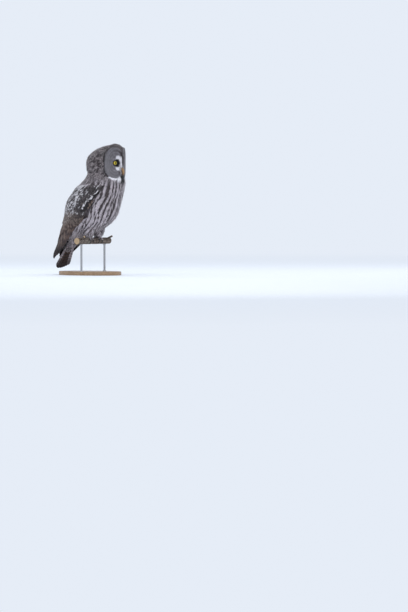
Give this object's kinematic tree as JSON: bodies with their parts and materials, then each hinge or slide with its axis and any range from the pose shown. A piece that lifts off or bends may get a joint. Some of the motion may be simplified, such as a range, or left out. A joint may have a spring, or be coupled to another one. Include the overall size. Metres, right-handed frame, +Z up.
{
  "type": "great grey owl",
  "caption": "Life-size perched great grey owl with round facial discs, folded wings and hanging tail, gripping a cut branch on a plain rod-and-base display stand.",
  "frame": {"origin": "on the underside of the stand's base, straight below the middle of the branch", "axes": "+X the way the owl faces, +Y to the owl's left along the branch, +Z up"},
  "size_m": [0.4017, 0.256, 0.626],
  "materials": {
    "grey_plumage": "matte",
    "dark_flight_feathers": "satin",
    "yellow_bill": "satin",
    "yellow_eye": "gloss",
    "black_claw": "satin",
    "bark": "rough",
    "base_wood": "satin",
    "rod_steel": "satin"
  },
  "bodies": {
    "root": {"head": "grey_plumage", "neck": "grey_plumage", "torso": "grey_plumage", "wing_left": "dark_flight_feathers", "wing_right": "dark_flight_feathers", "tail": "dark_flight_feathers", "leg_left": "grey_plumage", "leg_right": "grey_plumage", "foot_left": "grey_plumage", "foot_right": "grey_plumage", "bill_upper": "yellow_bill", "bill_lower": "yellow_bill", "eye_left": "yellow_eye", "eye_right": "yellow_eye", "stand_base": "base_wood", "stand_branch": "bark", "stand_rod_left": "rod_steel", "stand_rod_right": "rod_steel", "claw_left_inner": "black_claw", "claw_left_middle": "black_claw", "claw_left_outer": "black_claw", "claw_left_hind": "black_claw", "claw_right_inner": "black_claw", "claw_right_middle": "black_claw", "claw_right_outer": "black_claw", "claw_right_hind": "black_claw"}
  },
  "joints": []
}
